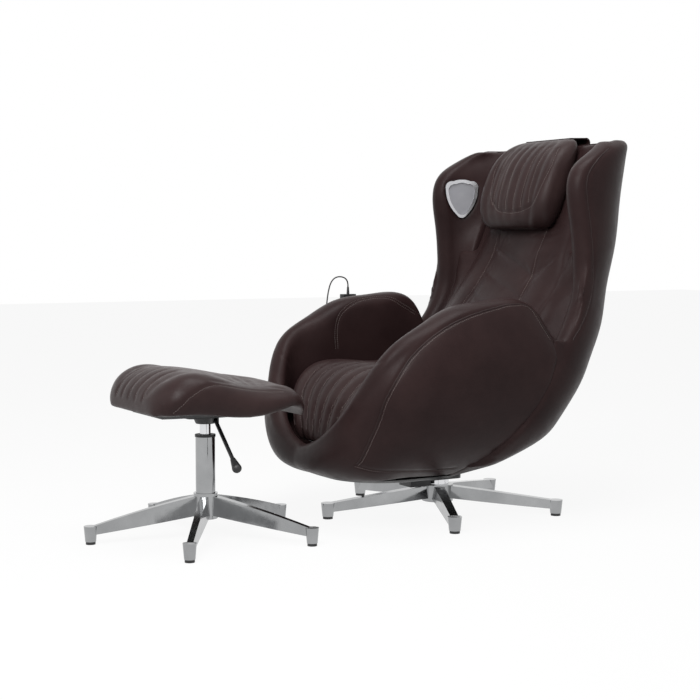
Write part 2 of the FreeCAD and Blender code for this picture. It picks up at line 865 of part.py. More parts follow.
def make_carriage():
    low = carriage_low
    high = carriage_high
    middle = (low + high) / 2.0
    plate_front = rail_depth + 16
    body = lean_box(-rail_x + 14, rail_x - 14, plate_front, plate_front + 8, low, high)
    for sign in (-1, 1):
        x = sign * rail_x
        body = body.fuse(lean_box(x - 15, x + 15, rail_depth - 15, plate_front + 8,
                                  low + 10, high - 10))
        ear = sign * 45
        body = body.fuse(lean_box(ear - 5, ear + 5, shaft_depth - 14, plate_front,
                                  middle - 16, middle + 16))
    body = body.fuse(lean_box(-16, 16, screw_depth - 14, plate_front + 1, high - 26, high - 2))
    for sign in (-1, 1):
        body = body.cut(lean_rod(rail_radius + run_fit, (sign * rail_x, rail_depth, low),
                                 (sign * rail_x, rail_depth, high)))
    body = body.cut(lean_rod(screw_radius + run_fit, (0, screw_depth, low - 5),
                             (0, screw_depth, high + 5)))
    shaft_half = knead_x + knead_thick + 6
    bore = lean_rod(shaft_radius + run_fit, (-shaft_half, shaft_depth, middle),
                    (shaft_half, shaft_depth, middle))
    nodes["massage_carriage"] = body.cut(bore)
    nodes["knead_shaft"] = lean_rod(shaft_radius, (-shaft_half, shaft_depth, middle),
                                    (shaft_half, shaft_depth, middle))
    gear_case = lean_box(-36, 36, shaft_depth - 18, shaft_depth + 18, middle - 22, middle + 22)
    can = lean_rod(15, (0, shaft_depth - 2, low - 8), (0, shaft_depth - 2, middle - 22))
    nodes["knead_motor"] = gear_case.fuse(can).cut(bore)
    for sign, side in ((1, "left"), (-1, "right")):
        make_knead_arm(sign, side, middle, bore)


def make_knead_arm(sign, side, middle, bore):
    x0 = min(sign * knead_x, sign * (knead_x + knead_thick))
    ends = {"upper": middle + roller_reach, "lower": middle - roller_reach}
    arm = lean_rod(16, (x0, shaft_depth, middle), (x0 + knead_thick, shaft_depth, middle))
    half = 11.0
    for end in ends.values():
        step = 1 if end > middle else -1
        wire = outline((shaft_depth - half, middle), [(shaft_depth + half, middle),
                       (roller_depth + half, end), ((roller_depth, end + step * half),
                                                    (roller_depth - half, end))],
                       lambda d, u: V(x0, d, u))
        arm = arm.fuse(lean_place(prism(wire, V(knead_thick, 0, 0))))
    face = sign * (knead_x - roller_width - 1)
    for name, end in ends.items():
        pin = lean_rod(roller_pin_radius, (face, roller_depth, end),
                       (sign * (knead_x + 2), roller_depth, end))
        arm = arm.fuse(pin)
        start = V(sign * (knead_x - 0.5 - roller_width), roller_depth, end)
        stop = V(sign * (knead_x - 0.5), roller_depth, end)
        wheel = rod(roller_radius, start, stop)
        wheel = wheel.makeFillet(5, wheel.Edges)
        wheel = wheel.cut(rod(roller_pin_radius + run_fit, start, stop))
        nodes["roller_" + name + "_" + side] = lean_place(wheel)
    nodes["knead_arm_" + side] = arm.removeSplitter().cut(bore)


def make_boxes():
    top = seat_pan_top + seat_gap
    nodes["control_box"] = box(-120, 60, 92, 142, top, top + 70)


# Handset, holder, keys and cord

def make_handset():
    outer = handset_inner_x - handset_thick
    half = handset_width / 2.0
    body = box(outer, handset_inner_x, handset_y - half, handset_y + half, handset_low,
               handset_low + handset_length)
    edges = [e for e in body.Edges if abs(e.Vertexes[0].Z - e.Vertexes[1].Z) > 1]
    body = body.makeFillet(8, edges)
    key_y = handset_y
    key_z = handset_low + handset_length - 20
    key = rod(7, V(outer - key_travel, key_y, key_z), V(outer + 6, key_y, key_z))
    well = rod(7 + run_fit, V(outer - 1, key_y, key_z), V(outer + 6 + key_travel, key_y, key_z))
    nodes["handset_body"] = body.cut(well)
    nodes["handset_power_key"] = key
    wall = holder_wall
    gap = seat_gap
    low = handset_low - gap - wall
    cup = box(outer - gap - wall, handset_inner_x + gap + wall, handset_y - half - gap - wall,
              handset_y + half + gap + wall, low, low + holder_height)
    pocket = box(outer - gap, handset_inner_x + gap, handset_y - half - gap,
                 handset_y + half + gap, handset_low - gap, low + holder_height + 1)
    window = box(outer - 20, handset_inner_x - 4, handset_y - 14, handset_y + 14, low + 25,
                 low + holder_height + 1)
    nodes["handset_holder"] = cup.cut(pocket).cut(window)
    start = cord_route[0]
    top = handset_low + handset_length
    relief = Part.makeCone(4.5, 3.0, start.z - top, V(start.x, start.y, top))
    nodes["handset_body"] = nodes["handset_body"].fuse(relief).removeSplitter()
    end = cord_route[-1]
    direction = end - cord_route[-2]
    direction.normalize()
    nodes["cord_gland"] = Part.makeCylinder(5.0, 12.5, end, direction)


def cord_path():
    points = cord_route
    edges = []
    here = points[0]
    radii = []
    for before, at, after in zip(points, points[1:], points[2:]):
        back = before - at
        on = after - at
        turn = math.pi - back.getAngle(on)
        reach = 0.45 * min(back.Length, on.Length)
        radius = reach / math.tan(turn / 2.0)
        radii.append(round(radius, 1))
        back.normalize()
        on.normalize()
        start = at + back * reach
        end = at + on * reach
        bisector = back + on
        bisector.normalize()
        sag = math.hypot(reach, radius) - radius
        edges.append(line(here, start))
        edges.append(arc(start, at + bisector * sag, end))
        here = end
    edges.append(line(here, points[-1]))
    print("cord radii", radii)
    return Part.Wire(edges)


def make_cord():
    path = cord_path()
    start = cord_route[0]
    direction = cord_route[1] - start
    circle = Part.Wire(Part.makeCircle(cord_diameter / 2.0, start, direction))
    cord = path.makePipeShell([circle], True, True)
    section = math.pi * cord_diameter ** 2 / 4.0
    print("cord length", round(path.Length, 1), "volume ratio",
          round(cord.Volume / (section * path.Length), 4))
    nodes["handset_cord"] = cord


# Mains inlet and rocker switch low on the back shell

def make_inlet():
    z = 300.0
    rear = read_rows(shell_rows, z, 2)
    face = rear + 3.0
    plate = box(-45, 45, rear - 40, face, z - 22, z + 22)
    socket = box(-34, -4, face - 20, face + 1, z - 12, z + 12)
    well = box(11, 33, face - 22, face + 1, z - 14, z + 14)
    nodes["power_inlet"] = plate.cut(socket).cut(well)
    nodes["back_shell"] = nodes["back_shell"].cut(box(-45 - seat_gap, 45 + seat_gap, rear - 60,
                                                      face + 60, z - 22 - seat_gap,
                                                      z + 22 + seat_gap))
    pivot = face - 8.0
    wire = outline((face - 14, z - 11), [(face - 3, z - 13), (face + 2, z), (face - 3, z + 13),
                                         (face - 14, z + 11)], lambda y, h: V(11.5, y, h))
    pin = rod(2.0, V(11, pivot, z), V(33, pivot, z))
    nodes["power_switch"] = prism(wire, V(21, 0, 0)).fuse(pin).removeSplitter()


# Footstool

def make_stool():
    foot = 34.0
    centre = V(stool_x, stool_y, 0)
    rows = [(stool_hub_radius - 10, 11, 15, 62, stool_hub_top - 6),
            (stool_base_radius * 0.45, 9, 12, 44, 86),
            (stool_base_radius - foot * 0.6, 8, 10, 24, stool_tip_top - 1)]
    base = star_base(stool_base_radius, stool_hub_radius, stool_hub_top, 52.0, rows,
                     stool_tip_top, stool_turn, foot)
    bore = rod(stool_column_radius, V(0, 0, 40), V(0, 0, stool_hub_top + 5))
    shapes = {}
    shapes["stool_star_base"] = base.cut(bore)
    shapes["stool_glides"] = glide_ring(stool_base_radius, foot, stool_turn)
    ring_height = 6.0
    shapes["stool_column_tube"] = tube(stool_column_radius, gas_rod_radius + run_fit,
                                       V(0, 0, 52), V(0, 0, stool_column_top))
    shapes["stool_column_ring"] = tube(stool_column_radius + 1.5, gas_rod_radius + run_fit,
                                       V(0, 0, stool_column_top),
                                       V(0, 0, stool_column_top + ring_height))
    shapes["gas_rod"] = rod(gas_rod_radius, V(0, 0, 66), V(0, 0, gas_rod_top))
    boot = Part.makeCone(24, 34, plate_low - boot_low, V(0, 0, boot_low))
    socket = rod(gas_rod_radius + run_fit, V(0, 0, boot_low - 1), V(0, 0, gas_rod_top + run_fit))
    shapes["stool_boot"] = boot.cut(socket)
    plate = box(-80, 80, -80, 80, plate_low, plate_low + plate_thick)
    plate = plate.makeFillet(14, [e for e in plate.Edges if
                                  abs(e.Vertexes[0].Z - e.Vertexes[1].Z) > 1])
    pivot = V(lever_pivot_x, 0, plate_low - 9)
    ear = box(lever_pivot_x - 12, lever_pivot_x + 12, -9, 9, plate_low - 16, plate_low)
    slot = box(lever_pivot_x - 30, lever_pivot_x + 30, -5.5, 5.5, plate_low - 17, plate_low)
    pin = rod(3, pivot + V(0, -8, 0), pivot + V(0, 8, 0))
    shapes["stool_plate"] = plate.fuse(ear.cut(slot)).fuse(pin).removeSplitter()
    knee = pivot + V(16, 0, -4)
    tip = pivot + V(lever_reach, 0, -lever_drop)
    lever = rod(5, pivot + V(-6, 0, 1.5), knee).fuse(Part.makeSphere(5, knee)).fuse(rod(5, knee, tip))
    shapes["stool_lever"] = lever.removeSplitter().cut(
        rod(3 + run_fit, pivot + V(0, -12, 0), pivot + V(0, 12, 0)))
    along = tip - knee
    along.normalize()
    end = tip + along * paddle_length
    paddle = Part.makeCone(6.5, paddle_radius, paddle_length, tip, along)
    shapes["stool_paddle"] = paddle.fuse(Part.makeSphere(paddle_radius, end)).removeSplitter()
    for name, shape in shapes.items():
        shape.translate(centre)
        nodes[name] = shape
    nodes["stool_cushion"] = loft([stool_wire(row) for row in stool_rows])
    make_stool_pan()


def stool_pan_wire(along, half, low, high):
    centre = V(stool_x, stool_y + along, 0)
    return outline((half, high), [(half - 40, low), (40 - half, low), (-half, high)],
                   lambda x, z: centre + V(x, 0, z))


def make_stool_pan():
    low = plate_low + plate_thick + seat_gap
    wires = []
    for row in stool_rows[2:7]:
        wires.append(stool_pan_wire(row[0], row[1] - stool_pan_inset, low, low + 24))
    cushion = nodes["stool_cushion"].copy()
    cushion.translate(V(0, 0, -seat_gap))
    nodes["stool_pan"] = loft(wires).cut(cushion)


def settle():
    solids = [shape for name, shape in nodes.items() if name != "handset_cord"]
    room = Part.makeCompound(solids).BoundBox
    shift = V(-(room.XMin + room.XMax) / 2.0, -(room.YMin + room.YMax) / 2.0, -room.ZMin)
    print("shift", [round(c, 3) for c in shift])
    print("size", [round(c, 1) for c in (room.XLength, room.YLength, room.ZLength)])
    for name, shape in nodes.items():
        shape.translate(shift)
        valid = shape.isValid() and shape.Volume > 0
        print(name, len(shape.Solids), round(shape.Volume / 1000.0, 1), valid)
        shape.exportStep("parts/" + name + ".step")


make_chair_base()
make_pans()
make_tilt_gear()
make_tub()
make_back()
make_speakers()
make_cushions()
make_strap()
make_back_frame()
make_carriage()
make_boxes()
make_handset()
make_cord()
make_inlet()
make_stool()
settle()
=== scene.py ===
import math
import bmesh
import bpy
import numpy as np
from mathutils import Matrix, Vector
from mathutils.bvhtree import BVHTree
from mathutils.kdtree import KDTree


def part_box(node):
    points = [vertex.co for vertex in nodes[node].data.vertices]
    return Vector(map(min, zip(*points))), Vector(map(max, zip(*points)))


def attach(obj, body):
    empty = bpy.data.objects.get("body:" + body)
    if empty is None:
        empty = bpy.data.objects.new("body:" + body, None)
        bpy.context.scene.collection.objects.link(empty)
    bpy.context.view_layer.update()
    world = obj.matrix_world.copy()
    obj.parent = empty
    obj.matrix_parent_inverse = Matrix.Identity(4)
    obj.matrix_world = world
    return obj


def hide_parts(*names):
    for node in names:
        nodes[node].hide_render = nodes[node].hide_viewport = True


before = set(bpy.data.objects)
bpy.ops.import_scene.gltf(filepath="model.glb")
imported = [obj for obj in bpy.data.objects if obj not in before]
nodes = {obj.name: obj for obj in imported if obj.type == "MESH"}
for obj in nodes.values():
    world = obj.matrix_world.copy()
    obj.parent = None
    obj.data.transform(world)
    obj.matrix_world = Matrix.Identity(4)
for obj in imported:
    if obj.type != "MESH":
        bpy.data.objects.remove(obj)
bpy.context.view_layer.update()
scene = bpy.context.scene
scene.view_settings.view_transform = "Standard"
mm = 0.001

# The chair's swivel axis in the row frame; places below are in millimetres from it
columnLow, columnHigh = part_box("chair_column_tube")
axisX = (columnLow[0] + columnHigh[0]) / 2
axisY = (columnLow[1] + columnHigh[1]) / 2
stoolLow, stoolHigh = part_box("stool_column_tube")
stoolX = ((stoolLow[0] + stoolHigh[0]) / 2 - axisX) / mm
stoolY = ((stoolLow[1] + stoolHigh[1]) / 2 - axisY) / mm


def at(x, y, z):
    return Vector((axisX + x * mm, axisY + y * mm, z * mm))


# Materials

def nodeMaterial(name):
    material = bpy.data.materials.new(name)
    material.use_nodes = True
    return material, material.node_tree, material.node_tree.nodes["Principled BSDF"]


def addNode(tree, kind, **values):
    node = tree.nodes.new(kind)
    for key, value in values.items():
        if key.startswith("in_"):
            node.inputs[key[3:].replace("_", " ")].default_value = value
        else:
            setattr(node, key, value)
    return node


def colourRamp(tree, stops):
    ramp = tree.nodes.new("ShaderNodeValToRGB")
    elements = ramp.color_ramp.elements
    while len(elements) < len(stops):
        elements.new(0.5)
    for element, (place, colour) in zip(elements, stops):
        element.position = place
        element.color = (*colour, 1)
    return ramp


def makeSurface(name, dark, light, rough, grain=None, metallic=0.0, toneScale=7.0, specular=0.5):
    material, tree, shader = nodeMaterial(name)
    link = tree.links.new
    coords = tree.nodes.new("ShaderNodeTexCoord")
    tone = addNode(tree, "ShaderNodeTexNoise", in_Scale=toneScale, in_Detail=4.0, in_Roughness=0.6)
    link(coords.outputs["Object"], tone.inputs["Vector"])
    ramp = colourRamp(tree, [(0.3, dark), (0.72, light)])
    link(tone.outputs["Fac"], ramp.inputs["Fac"])
    link(ramp.outputs["Color"], shader.inputs["Base Color"])
    spread = addNode(tree, "ShaderNodeMapRange")
    spread.inputs["From Min"].default_value = 0.3
    spread.inputs["From Max"].default_value = 0.7
    spread.inputs["To Min"].default_value = rough[0]
    spread.inputs["To Max"].default_value = rough[1]
    fine = addNode(tree, "ShaderNodeTexNoise", in_Scale=toneScale * 6, in_Detail=3.0)
    link(coords.outputs["Object"], fine.inputs["Vector"])
    link(fine.outputs["Fac"], spread.inputs["Value"])
    link(spread.outputs["Result"], shader.inputs["Roughness"])
    shader.inputs["Metallic"].default_value = metallic
    shader.inputs["Specular IOR Level"].default_value = specular
    if grain:
        bump = addNode(tree, "ShaderNodeBump", in_Strength=grain["strength"],
                       in_Distance=grain["depth"])
        if grain["kind"] == "leather":
            cells = addNode(tree, "ShaderNodeTexVoronoi", feature="SMOOTH_F1",
                            in_Scale=grain["scale"], in_Smoothness=0.6)
            warp = addNode(tree, "ShaderNodeTexNoise", in_Scale=grain["scale"] * 0.35, in_Detail=2.0)
            mixer = addNode(tree, "ShaderNodeMix", data_type="RGBA", blend_type="LINEAR_LIGHT")
            mixer.inputs["Factor"].default_value = 0.0016
            link(coords.outputs["Object"], warp.inputs["Vector"])
            link(coords.outputs["Object"], mixer.inputs["A"])
            link(warp.outputs["Color"], mixer.inputs["B"])
            link(mixer.outputs["Result"], cells.inputs["Vector"])
            creases = addNode(tree, "ShaderNodeTexNoise", in_Scale=55.0, in_Detail=5.0,
                              in_Roughness=0.65)
            link(coords.outputs["Object"], creases.inputs["Vector"])
            total = addNode(tree, "ShaderNodeMath", operation="MULTIPLY_ADD")
            total.inputs[1].default_value = 0.6
            link(cells.outputs["Distance"], total.inputs[2])
            link(creases.outputs["Fac"], total.inputs[0])
            link(total.outputs["Value"], bump.inputs["Height"])
        else:
            speckle = addNode(tree, "ShaderNodeTexNoise", in_Scale=grain["scale"], in_Detail=2.0)
            link(coords.outputs["Object"], speckle.inputs["Vector"])
            link(speckle.outputs["Fac"], bump.inputs["Height"])
        link(bump.outputs["Normal"], shader.inputs["Normal"])
    return material


leatherGrain = {"kind": "leather", "scale": 620.0, "strength": 0.3, "depth": 0.0006}
leather = makeSurface("leather", (0.0185, 0.0096, 0.0097), (0.029, 0.0158, 0.0156), (0.32, 0.42),
                      leatherGrain, specular=0.09)
# The seat, headrest pillow and stool leathers are lighter copies of the leather. This is painted light:
# their lighter base colour stands in for the lamps falling on these cushions from above and in front.
leatherSeat = makeSurface("leatherSeat", (0.022, 0.0122, 0.0122), (0.035, 0.0205, 0.02),
                          (0.31, 0.42), leatherGrain, specular=0.11)
leatherStool = makeSurface("leatherStool", (0.023, 0.0128, 0.0128), (0.037, 0.0218, 0.0212),
                           (0.3, 0.4), leatherGrain, specular=0.11)
thread = makeSurface("thread", (0.1, 0.08, 0.075), (0.17, 0.138, 0.13), (0.6, 0.75),
                     {"kind": "speckle", "scale": 2200.0, "strength": 0.4, "depth": 0.0003})
pipingLeather = makeSurface("pipingLeather", (0.018, 0.0105, 0.0105), (0.03, 0.018, 0.0178),
                            (0.3, 0.4), leatherGrain, specular=0.14)
polished = makeSurface("polishedAluminium", (0.28, 0.285, 0.29), (0.39, 0.395, 0.4), (0.08, 0.17),
                       {"kind": "speckle", "scale": 160.0, "strength": 0.05, "depth": 0.0004}, 1.0)
chrome = makeSurface("chrome", (0.66, 0.665, 0.68), (0.76, 0.765, 0.78), (0.05, 0.1), None, 1.0)
groundSteel = makeSurface("groundSteel", (0.42, 0.42, 0.44), (0.55, 0.55, 0.57), (0.25, 0.36),
                          None, 1.0)
blackMetal = makeSurface("blackMetal", (0.012, 0.012, 0.013), (0.02, 0.02, 0.021), (0.34, 0.46),
                         {"kind": "speckle", "scale": 900.0, "strength": 0.15, "depth": 0.0003})
blackPlastic = makeSurface("blackPlastic", (0.01, 0.01, 0.0105), (0.017, 0.017, 0.018),
                           (0.42, 0.55), {"kind": "speckle", "scale": 1500.0, "strength": 0.22,
                                          "depth": 0.0002})
rubber = makeSurface("rubber", (0.012, 0.012, 0.012), (0.02, 0.02, 0.02), (0.55, 0.7),
                     {"kind": "speckle", "scale": 700.0, "strength": 0.2, "depth": 0.0003})
silver = makeSurface("silverBezel", (0.5, 0.5, 0.52), (0.62, 0.62, 0.64), (0.2, 0.3), None, 0.85)
grilleGrey = makeSurface("speakerGrille", (0.24, 0.24, 0.26), (0.32, 0.32, 0.34), (0.38, 0.5),
                         {"kind": "speckle", "scale": 1300.0, "strength": 0.5, "depth": 0.0005},
                         0.4)
cordRubber = makeSurface("cordRubber", (0.011, 0.011, 0.011), (0.018, 0.018, 0.018), (0.4, 0.5))

finishes = {
    "chair_star_base": polished, "stool_star_base": polished, "stool_column_tube": polished,
    "chair_column_tube": chrome, "gas_rod": chrome, "tilt_lever": chrome,
    "tilt_housing": blackMetal, "tilt_bracket": blackMetal, "seat_pan": blackMetal,
    "stool_plate": blackMetal, "back_frame": blackMetal, "stool_lever": blackMetal,
    "tilt_pin": groundSteel, "swivel_post": groundSteel, "guide_rails": groundSteel,
    "lead_screw": groundSteel, "knead_shaft": groundSteel,
    "speaker_bezel_left": silver, "speaker_bezel_right": silver,
    "speaker_grille_left": grilleGrey, "speaker_grille_right": grilleGrey,
    "roller_upper_left": rubber, "roller_upper_right": rubber,
    "roller_lower_left": rubber, "roller_lower_right": rubber, "handset_cord": cordRubber,
}
for nodeName, nodeObject in nodes.items():
    nodeObject.data.materials.clear()
    nodeObject.data.materials.append(finishes.get(nodeName, blackPlastic))
bevelWidths = {"chair_star_base": 2.5, "stool_star_base": 2.2, "tilt_housing": 3.0,
               "stool_plate": 1.0, "handset_holder": 1.0, "stool_boot": 1.5,
               "stool_column_ring": 1.0, "chair_column_tube": 1.2, "stool_column_tube": 1.0,
               "speaker_bezel_left": 2.0, "speaker_bezel_right": 2.0, "control_box": 2.0}
for nodeName, width in bevelWidths.items():
    bevel = nodes[nodeName].modifiers.new("softEdge", "BEVEL")
    bevel.width = width * mm
    bevel.segments = 3
    bevel.limit_method = "ANGLE"
    bevel.angle_limit = math.radians(35)
print("materials done")


# Soft pieces: CAD solids are grown into one skin, remeshed and smoothed, creased along their
# seams, and blown up as cloth that is held at the seams

def linkMesh(name, mesh):
    piece = bpy.data.objects.new(name, mesh)
    scene.collection.objects.link(piece)
    return piece


def plainMesh(piece, name):
    graph = bpy.context.evaluated_depsgraph_get()
    mesh = bpy.data.meshes.new_from_object(piece.evaluated_get(graph))
    mesh.name = name
    return mesh


def bakeModifiers(piece):
    mesh = plainMesh(piece, piece.name)
    old = piece.data
    piece.modifiers.clear()
    piece.data = mesh
    bpy.data.meshes.remove(old)


def points(mesh):
    flat = np.empty(len(mesh.vertices) * 3)
    mesh.vertices.foreach_get("co", flat)
    return flat.reshape(-1, 3)


def setPoints(mesh, places):
    mesh.vertices.foreach_set("co", np.ascontiguousarray(places).reshape(-1))
    mesh.update()


def normals(mesh):
    flat = np.empty(len(mesh.vertices) * 3)
    mesh.vertex_normals.foreach_get("vector", flat)
    return flat.reshape(-1, 3)


def shadeSmooth(mesh):
    for face in mesh.polygons:
        face.use_smooth = True


def softCopy(name, nodeNames, voxel, rounds, grow, extras=()):
    joined = bmesh.new()
    for nodeName in nodeNames:
        joined.from_mesh(nodes[nodeName].data)
    for extra in extras:
        joined.from_mesh(extra)
    bmesh.ops.remove_doubles(joined, verts=joined.verts, dist=1e-5)
    bmesh.ops.recalc_face_normals(joined, faces=joined.faces)
    mesh = bpy.data.meshes.new(name)
    joined.to_mesh(mesh)
    joined.free()
    piece = linkMesh(name, mesh)
    if grow:
        setPoints(mesh, points(mesh) + normals(mesh) * grow * mm)
    remesh = piece.modifiers.new("voxels", "REMESH")
    remesh.mode = "VOXEL"
    remesh.voxel_size = voxel * mm
    smooth = piece.modifiers.new("smooth", "SMOOTH")
    smooth.factor = 0.5
    smooth.iterations = rounds
    bakeModifiers(piece)
    dropBubbles(piece.data)
    if grow:
        setPoints(piece.data, points(piece.data) - normals(piece.data) * grow * mm)
    return piece


# Only the largest skin stays: the voids closed inside it go
def dropBubbles(mesh):
    work = bmesh.new()
    work.from_mesh(mesh)
    left = set(work.verts)
    islands = []
    while left:
        first = left.pop()
        island = [first]
        stack = [first]
        while stack:
            for edge in stack.pop().link_edges:
                for vert in edge.verts:
                    if vert in left:
                        left.remove(vert)
                        island.append(vert)
                        stack.append(vert)
        islands.append(island)
    islands.sort(key=len)
    spare = [vert for island in islands[:-1] for vert in island]
    bmesh.ops.delete(work, geom=spare, context="VERTS")
    work.to_mesh(mesh)
    work.free()


def surfaceTree(piece):
    return BVHTree.FromPolygons([v.co for v in piece.data.vertices],
                                [p.vertices for p in piece.data.polygons])


# A smooth line through a few places, laid on a piece's surface
def layLine(tree, places, spacing=3.0):
    track = [Vector(p) for p in places]
    ends = [track[0] * 2 - track[1]] + track + [track[-1] * 2 - track[-2]]
    line = []
    for a, b, c, d in zip(ends, ends[1:], ends[2:], ends[3:]):
        steps = max(2, int((c - b).length / (spacing * mm)))
        for step in range(steps):
            t = step / steps
            line.append(0.5 * (2 * b + (c - a) * t + (2 * a - 5 * b + 4 * c - d) * t * t
                               + (3 * b - a - 3 * c + d) * t ** 3))
    line.append(track[-1])
    return [tree.find_nearest(p)[0] for p in line]


# Distance in millimetres of each vertex from the nearest seam
def seamGaps(mesh, lines):
    spots = [p for line in lines for p in line]
    finder = KDTree(len(spots))
    for index, spot in enumerate(spots):
        finder.insert(spot, index)
    finder.balance()
    return np.array([finder.find(v.co)[2] / mm for v in mesh.vertices])


def crease(piece, lines, depth, width):
    mesh = piece.data
    dip = depth * mm * np.exp(-(seamGaps(mesh, lines) / width) ** 2)
    setPoints(mesh, points(mesh) - normals(mesh) * dip[:, None])


# Cloth is run on the showing side alone; its rim, the seams and all the rest are held
clothFrames = 20
seamHold = 4.0
turnedAway = 0.1


def inflate(piece, lines, cap, pressure, facing, inside):
    mesh = piece.data
    rest = points(mesh)
    hidden = normals(mesh) @ np.array(facing) < turnedAway
    outer = np.abs(rest[:, 0] - axisX) > inside * mm
    fixed = (seamGaps(mesh, lines) < seamHold) | hidden | outer
    faces = [list(p.vertices) for p in mesh.polygons if not fixed[list(p.vertices)].all()]
    used = sorted({k for face in faces for k in face})
    place = {k: index for index, k in enumerate(used)}
    skin = bpy.data.meshes.new("skin")
    skin.from_pydata(rest[used], [], [[place[k] for k in face] for face in faces])
    patch = linkMesh("skin", skin)
    held = patch.vertex_groups.new(name="held")
    held.add([place[k] for k in used if fixed[k]], 1.0, "REPLACE")
    cloth = patch.modifiers.new("cloth", "CLOTH")
    settings = cloth.settings
    settings.quality = 3
    settings.mass = 0.3
    settings.tension_stiffness = 12
    settings.compression_stiffness = 12
    settings.bending_stiffness = 0.8
    settings.vertex_group_mass = "held"
    settings.use_pressure = True
    settings.uniform_pressure_force = pressure
    settings.effector_weights.gravity = 0
    cloth.point_cache.frame_start = 1
    cloth.point_cache.frame_end = clothFrames
    for step in range(1, clothFrames + 1):
        scene.frame_set(step)
    swollen = points(plainMesh(patch, "swollen"))
    scene.frame_set(1)
    bpy.data.objects.remove(patch)
    move = swollen - rest[used]
    size = np.linalg.norm(move, axis=1)
    print("swelling", piece.name, "mean", round(float(size.mean() / mm), 2),
          "most", round(float(size.max() / mm), 2))
    share = np.minimum(1.0, cap * mm / np.maximum(size, 1e-9))
    rest[used] += move * share[:, None]
    setPoints(mesh, rest)


def finishSoft(piece, material, body, nodeNames):
    smooth = piece.modifiers.new("settle", "SMOOTH")
    smooth.factor = 0.4
    smooth.iterations = 2
    bakeModifiers(piece)
    shadeSmooth(piece.data)
    piece.data.materials.clear()
    piece.data.materials.append(material)
    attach(piece, body)
    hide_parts(*nodeNames)


# Stitches: one Geometry Nodes group lays thread along curves
stitchSizes = {"Pitch": 6.0, "Stitch Length": 4.2, "Stitch Radius": 0.7}


def stitchGroup():
    group = bpy.data.node_groups.new("stitchRow", "GeometryNodeTree")
    face = group.interface
    face.new_socket("Geometry", in_out="INPUT", socket_type="NodeSocketGeometry")
    sizes = {}
    for label, size in stitchSizes.items():
        socket = face.new_socket(label, in_out="INPUT", socket_type="NodeSocketFloat")
        socket.default_value = size * mm
        sizes[label] = socket.identifier
    stuff = face.new_socket("Thread", in_out="INPUT", socket_type="NodeSocketMaterial")
    sizes["Thread"] = stuff.identifier
    face.new_socket("Geometry", in_out="OUTPUT", socket_type="NodeSocketGeometry")
    add = group.nodes.new
    start = add("NodeGroupInput")
    end = add("NodeGroupOutput")
    spots = add("GeometryNodeCurveToPoints")
    spots.mode = "LENGTH"
    ball = add("GeometryNodeMeshUVSphere")
    ball.inputs["Segments"].default_value = 6
    ball.inputs["Rings"].default_value = 5
    ball.inputs["Radius"].default_value = 1.0
    lay = add("GeometryNodeInstanceOnPoints")
    scale = add("ShaderNodeCombineXYZ")
    halve = add("ShaderNodeMath")
    halve.operation = "MULTIPLY"
    halve.inputs[1].default_value = 0.5
    real = add("GeometryNodeRealizeInstances")
    paint = add("GeometryNodeSetMaterial")
    link = group.links.new
    link(start.outputs["Geometry"], spots.inputs["Curve"])
    link(start.outputs["Pitch"], spots.inputs["Length"])
    link(spots.outputs["Points"], lay.inputs["Points"])
    link(ball.outputs["Mesh"], lay.inputs["Instance"])
    link(spots.outputs["Rotation"], lay.inputs["Rotation"])
    link(start.outputs["Stitch Length"], halve.inputs[0])
    link(start.outputs["Stitch Radius"], scale.inputs["X"])
    link(start.outputs["Stitch Radius"], scale.inputs["Y"])
    link(halve.outputs["Value"], scale.inputs["Z"])
    link(scale.outputs["Vector"], lay.inputs["Scale"])
    link(lay.outputs["Instances"], real.inputs["Geometry"])
    link(real.outputs["Geometry"], paint.inputs["Geometry"])
    link(start.outputs["Thread"], paint.inputs["Material"])
    link(paint.outputs["Geometry"], end.inputs["Geometry"])
    return group, sizes


stitchNodes, stitchSockets = stitchGroup()


def curveObject(name, lines):
    curve = bpy.data.curves.new(name, "CURVE")
    curve.dimensions = "3D"
    for line in lines:
        spline = curve.splines.new("POLY")
        spline.points.add(len(line) - 1)
        for spot, place in zip(spline.points, line):
            spot.co = (*place, 1)
    piece = bpy.data.objects.new(name, curve)
    scene.collection.objects.link(piece)
    return piece


def sewnPiece(name, track, body, material=None):
    bpy.context.view_layer.update()
    mesh = plainMesh(track, name)
    if material:
        mesh.materials.clear()
        mesh.materials.append(material)
    piece = linkMesh(name, mesh)
    bpy.data.objects.remove(track)
    shadeSmooth(mesh)
    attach(piece, body)


def stitchPiece(name, lines, body):
    track = curveObject(name + "Track", lines)
    modifier = track.modifiers.new("stitches", "NODES")
    modifier.node_group = stitchNodes
    for label, size in stitchSizes.items():
        modifier[stitchSockets[label]] = size * mm
    modifier[stitchSockets["Thread"]] = thread
    sewnPiece(name, track, body)


def pipingPiece(name, lines, body, radius, material):
    track = curveObject(name + "Track", lines)
    track.data.bevel_depth = radius * mm
    track.data.bevel_resolution = 3
    track.data.use_fill_caps = True
    sewnPiece(name, track, body, material)


# A line moved sideways along its surface
def besideLine(tree, line, side):
    moved = []
    for index, place in enumerate(line):
        before = line[max(0, index - 1)]
        after = line[min(len(line) - 1, index + 1)]
        along = after - before
        if along.length < 1e-7:
            along = Vector((0, 1, 0))
        out = tree.find_nearest(place)[1]
        across = along.normalized().cross(out).normalized()
        moved.append(tree.find_nearest(place + across * side * mm)[0])
    return moved


def raiseLine(tree, line, lift):
    raised = []
    for place in line:
        spot, out = tree.find_nearest(place)[:2]
        raised.append(spot + out * lift * mm)
    return raised


seatBody = "seat_unit"


def placesAt(*places):
    return [at(*p) for p in places]


def bothSides(*places):
    return [[at(*p) for p in places], [at(-p[0], p[1], p[2]) for p in places]]


